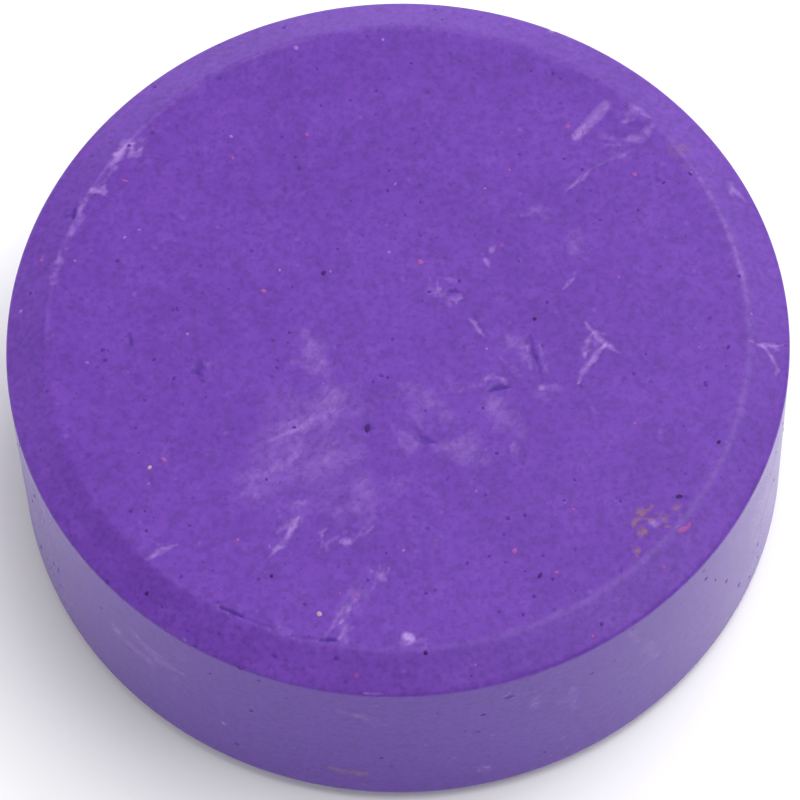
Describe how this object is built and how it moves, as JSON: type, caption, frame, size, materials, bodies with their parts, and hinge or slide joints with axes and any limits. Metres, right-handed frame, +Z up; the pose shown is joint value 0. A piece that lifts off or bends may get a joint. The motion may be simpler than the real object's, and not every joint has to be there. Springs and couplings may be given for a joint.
{
  "type": "puck crayon",
  "caption": "Round puck crayon: one solid disc of purple wax, 57 mm across and 20 mm thick, flat faces with a narrow bevel round each.",
  "frame": {"origin": "centre of the flat face that the disc rests on", "axes": "+Z up along the disc's own axis; the disc is round, so X and Y are any two directions across it, with +X to the right and +Y away as it is seen from the front"},
  "size_m": [0.057, 0.057, 0.02],
  "materials": {
    "purple_wax": "satin wax with fine dark and pale pigment grains"
  },
  "bodies": {
    "root": {"crayon_body": "purple_wax"}
  },
  "joints": []
}
